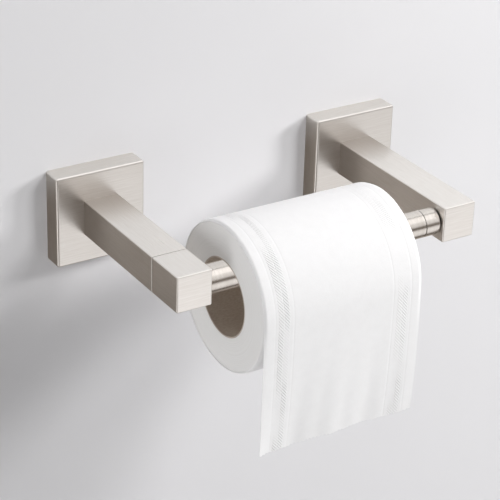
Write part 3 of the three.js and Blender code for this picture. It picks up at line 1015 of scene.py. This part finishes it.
share_fallen = np.clip((strip_along - wrap_length) / tail_length, 0, 1)
from_left = strip_across - sheet_low.x
from_edge = np.minimum(from_left, sheet_width - from_left)
billow = wave_along(from_left, 0.55 * MM, 47 * MM, 0.8 + 1.2 * share_fallen)
ripple = wave_along(from_left, 0.18 * MM, 15 * MM, 2.0 * share_fallen)
left_flare = near_edge(from_left, 1.6 * MM, 9 * MM) * share_fallen**3
right_flare = near_edge(sheet_width - from_left, 0.8 * MM, 8 * MM) * share_fallen**2
waves = (billow + ripple) * share_fallen**1.5 + left_flare + right_flare
edge_drop_width = 0.9 * MM
edge_drop = 0.7 * MM * np.exp(-((from_edge / edge_drop_width) ** 2)) * (1 - share_fallen) ** 6
lift = waves - edge_drop
place_y = place_y + lift * out_y
place_z = place_z + lift * out_z * (share_fallen == 0)

# %% Sheet as a mesh, with its flat size as its map
rows = len(strip_along)
corners = np.stack([strip_across, place_y, place_z], axis=-1).reshape(-1, 3)
quads = [
    (r * columns + c, r * columns + c + 1, (r + 1) * columns + c + 1, (r + 1) * columns + c)
    for r in range(rows - 1)
    for c in range(columns - 1)
]
sheet_mesh = bpy.data.meshes.new("outer_sheet")
sheet_mesh.from_pydata(corners.tolist(), [], quads)
flat_map = sheet_mesh.uv_layers.new(name="flat")
flat_places = np.stack([from_left, strip_along], axis=-1).reshape(-1, 2)
corner_of = np.zeros(len(sheet_mesh.loops), dtype=np.int32)
sheet_mesh.loops.foreach_get("vertex_index", corner_of)
flat_map.data.foreach_set("uv", flat_places[corner_of].ravel())

outer_sheet = bpy.data.objects.new("outer_sheet", sheet_mesh)
bpy.context.collection.objects.link(outer_sheet)
use_modifier(outer_sheet, "SOLIDIFY", thickness=sheet_thickness, offset=0, use_even_offset=True)
sheet_flat = (sheet_width, wrap_length + tail_length)
print("the strip lies flat as", [round(side / MM, 1) for side in sheet_flat], "mm")

# %% [markdown]
# ## Embossed tissue
# The maker rolls the plies between patterned cylinders, which press them together in two narrow bands near
# the edges: short slanting strokes, in two columns, with a soft pressed line on either side. The pattern
# belongs to the paper and not to the room, so it is laid out on the sheet's flat map, in metres. It fades
# in and out along the band, because the pressure is never quite even.

# %% Embossed tissue paper
stroke_pitch = 1.8 * MM
stroke_slope = 1.15
band_start = 8.3 * MM
column_width = 3.4 * MM
stroke_edge = 0.2 * MM
line_starts = (band_start - 2.2 * MM, band_start + 9.0 * MM)
line_width = 0.7 * MM
line_edge = 0.5 * MM


def tissue():
    finish = Finish("embossed_tissue_paper")
    flat = finish.node("UVMap", {"uv_map": "flat"}).outputs[0]
    across, along = finish.axes(flat)[:2]
    from_right = sheet_width - across

    def between(value, start, end, soft):
        return value.step(start - soft, start + soft) * (1 - value.step(end - soft, end + soft))

    def patches(seed, least, most):
        """Pressure that fades in and out along the band, in its own way for each seed."""
        drift = finish.node("CombineXYZ", {}, {0: seed, 1: along * 28}).outputs[0]
        fade = finish.number("TexNoise", "Fac", {}, {"Vector": drift, "Scale": 1.0, "Detail": 1.0})
        return least + fade.step(0.4, 0.56) * (most - least)

    def column(edge, start, seed, least, most):
        inside = between(edge, start + stroke_edge, start + column_width - stroke_edge, stroke_edge)
        return inside * patches(seed, least, most)

    second = band_start + column_width
    strokes_here = (
        column(across, band_start, 3.0, 0.05, 1.0)
        + column(across, second, 8.0, 0.15, 1.0)
        + column(from_right, band_start, 14.0, 0.0, 0.5)
        + column(from_right, second, 21.0, 0.0, 0.35)
    )
    strokes = ((along - across * stroke_slope) / stroke_pitch).wave().step(0.25, 0.75)
    pressed_lines = sum(
        between(edge, start, start + line_width, line_edge)
        for edge in (across, from_right)
        for start in line_starts
    )
    soft = fibre_relief(finish)
    height = strokes * strokes_here * 0.8 - pressed_lines * 0.25 + soft * 0.22
    # Painted shade: the grooves between the embossed strokes are darkened in the colour below, as if less light
    # fell into them.
    groove = (1 - strokes) * strokes_here
    paper = finish.blend(soft.step(0.3, 0.7), rgb(0.925, 0.918, 0.920), rgb(0.950, 0.944, 0.946))
    return finish.surface({
        "Base Color": finish.blend(groove * 0.35, paper, rgb(0.76, 0.755, 0.75)),
        "Roughness": 0.85 + soft * 0.15,
        "Sheen Weight": 0.15,
        "Normal": finish.relief(height, 0.00028),
    })


outer_sheet.data.materials.append(tissue())
smooth_shading(outer_sheet, sharpest=60)
put_on(outer_sheet, "sheet", "tissue_paper", "loose_sheet")

# %% [markdown]
# ## Wall and floor
# The holder hangs on a plain pale wall. Seen from behind, that wall would hide the brackets, so its
# material is one-sided: where the light meets the wall's back, the surface is clear. The wall stands a
# fifth of a millimetre in front of the holder's back faces, so that these can be seen and lit from behind.
# The floor is far below, for views from the side.
#
# What the metal mirrors is chosen as well. In reflections, the wall is a dark card low down and a white one
# higher up, which gives the posts' tops and sides their different greys. The plane was made flat and then
# turned upright, so its own Y is the height. The roll, its core and the floor are left out of reflections.

# %% Paint
dark_card_top = 4 * MM
white_card_bottom = 34 * MM


def paint(finish, colour):
    """Matt paint with the fine skin that a roller leaves."""
    roller = finish.noise(260, 3)
    return finish.node("BsdfPrincipled", {}, {
        "Base Color": colour,
        "Roughness": 0.85,
        "Normal": finish.relief(roller, 0.00003),
    }).outputs[0]


def wall_paint():
    """Pale paint that is clear from behind, and two cards in reflections."""
    finish = Finish("wall_paint")
    seen = paint(finish, rgb(0.775, 0.768, 0.782))
    height = finish.axes(finish.place)[1]
    white = height.step(dark_card_top, white_card_bottom)
    card = finish.blend(white, rgb(0.46, 0.41, 0.365), rgb(0.97, 0.965, 0.96))
    mirrored = finish.node("BsdfDiffuse", {}, {"Color": card}).outputs[0]
    in_metal = finish.node("LightPath").outputs["Is Glossy Ray"]
    front = finish.node("MixShader", {}, {0: in_metal, 1: seen, 2: mirrored}).outputs[0]
    clear = finish.node("BsdfTransparent").outputs[0]
    behind = finish.node("NewGeometry").outputs["Backfacing"]
    shown = finish.node("MixShader", {}, {0: behind, 1: front, 2: clear}).outputs[0]
    finish.node("OutputMaterial", {}, {"Surface": shown})
    return finish.material


def floor_paint():
    finish = Finish("floor_paint")
    finish.node("OutputMaterial", {}, {"Surface": paint(finish, rgb(0.70, 0.70, 0.70))})
    return finish.material


# %% Stage
stage_size = 8.0
wall_place = -0.2 * MM
floor_height = -0.75


def add_plane(name, place, turn, material):
    """A large square plane with its paint."""
    nothing_selected()
    bpy.ops.mesh.primitive_plane_add(size=stage_size, location=place, rotation=turn)
    plane = bpy.context.object
    plane.name = name
    plane.data.materials.append(material)
    return plane


wall = add_plane("wall", (0, wall_place, 0), (math.pi / 2, 0, 0), wall_paint())
floor = add_plane("floor", (0, wall_place - stage_size / 2, floor_height), (0, 0, 0), floor_paint())
for piece in (wound_paper, outer_sheet, core, floor):
    piece.visible_glossy = False
print("the wall and the floor are", stage_size, "m wide")

# %% [markdown]
# ## Studio light
# Metal shows the room, so the room is designed for it. The world does three things. It lights the wall and
# the paper evenly, with a little more light from above. In reflections it is a ring of bright and dark
# bands round the holder, as a studio sets up white boards and black cards, and the bar bends that ring into
# the thin lines that make it look round. Two bright strips in it give the rolled edges their fine
# highlights.

# %% World
# Each band is an angle in degrees, from the front of the bar upwards, and the light that comes from there.
room_bands = [
    (-170, 0.14), (-120, 0.10), (-96, 0.0), (-84, 0.02), (-68, 0.60), (-48, 0.72),
    (-24, 0.68), (-14, 0.06), (0, 0.02), (12, 0.60), (38, 0.70), (52, 1.00),
    (72, 1.00), (84, 0.60), (92, 0.04), (106, 0.08), (124, 0.58), (172, 0.58),
]
low_strip = (-0.87, -0.20, -0.45)
high_strip = (0.48, -0.38, 0.79)


def studio_world():
    world = bpy.data.worlds.new("studio")
    bpy.context.scene.world = world
    tree = Tree(world)
    x, y, z = tree.axes(tree.node("TexCoord").outputs["Generated"])

    def towards(direction):
        return x * direction[0] + y * direction[1] + z * direction[2]

    round_the_bar = z.math("ARCTAN2", z, 0 - y) / (2 * math.pi) + 0.5
    stops = [(degrees / 360 + 0.5, light) for degrees, light in room_bands]
    bands = tree.number("ValToRGB", 0, {"stops": stops}, {0: round_the_bar})
    left = (0 - x).step(-0.1, 0.40)
    low = (0 - z).step(-0.25, 0.25)
    front = (0 - y).step(-0.2, 0.3)
    strips = towards(low_strip).step(0.925, 0.955) + towards(high_strip).step(0.93, 0.97) * 1.2
    light = bands * (1 - left * low * front * 0.95) + strips
    board = tree.blend(light, rgb(0.075, 0.056, 0.040), rgb(1.0, 0.985, 0.975))
    reflected = tree.node("Background", {}, {"Color": board, "Strength": 1.65})
    even = 0.15 + z * 0.15 - x * 0.05 - y * 0.04
    soft = tree.node("Background", {}, {"Color": rgb(1.0, 1.0, 1.0), "Strength": even})
    backdrop = tree.node("Background", {}, {"Color": rgb(0.80, 0.80, 0.81), "Strength": 1.0})
    ray = tree.node("LightPath").outputs
    inner = tree.node("MixShader", {}, {
        0: ray["Is Glossy Ray"],
        1: soft.outputs[0],
        2: reflected.outputs[0],
    })
    whole = tree.node("MixShader", {}, {
        0: ray["Is Camera Ray"],
        1: inner.outputs[0],
        2: backdrop.outputs[0],
    })
    tree.node("OutputWorld", {}, {"Surface": whole.outputs[0]})


studio_world()
print("the world has", len(room_bands), "bands and two strips")

# %% [markdown]
# Four large soft lamps do the rest. Two stand on the right, one of them high, and throw the soft shadows on
# the wall. One on the left fills the end of the roll. One behind shines through the clear back of the wall,
# for the holder's back and its rims. None of them shows in the metal, where a square lamp would be seen as
# a square.

# %% Lamps
def soft_lamp(name, place, aim, side, watts):
    """A square area lamp at a place, turned to look at a point."""
    nothing_selected()
    bpy.ops.object.light_add(type="AREA", location=place)
    lamp = bpy.context.object
    lamp.name = name
    lamp.rotation_mode = "QUATERNION"
    lamp.rotation_quaternion = (Vector(aim) - Vector(place)).to_track_quat("-Z", "Y")
    lamp.data.shape = "SQUARE"
    lamp.data.size = side
    lamp.data.energy = watts
    lamp.visible_glossy = False


# Each lamp has a name, a direction from the holder, a distance and a side in metres, and a power in watts.
holder_middle = (cad_low + cad_high) / 2
for name, direction, away, side, watts in [
    ("key_lamp", (0.48, -0.68, 0.60), 1.5, 0.45, 9.0),
    ("side_lamp", (0.84, -0.44, 0.38), 1.5, 0.35, 15.0),
    ("fill_lamp", (-0.97, -0.14, -0.20), 1.5, 0.7, 7.0),
    ("back_lamp", (-0.68, 0.70, -0.05), 1.6, 1.1, 18.0),
]:
    place = holder_middle + Vector(direction).normalized() * away
    soft_lamp(name, place, holder_middle, side, watts)
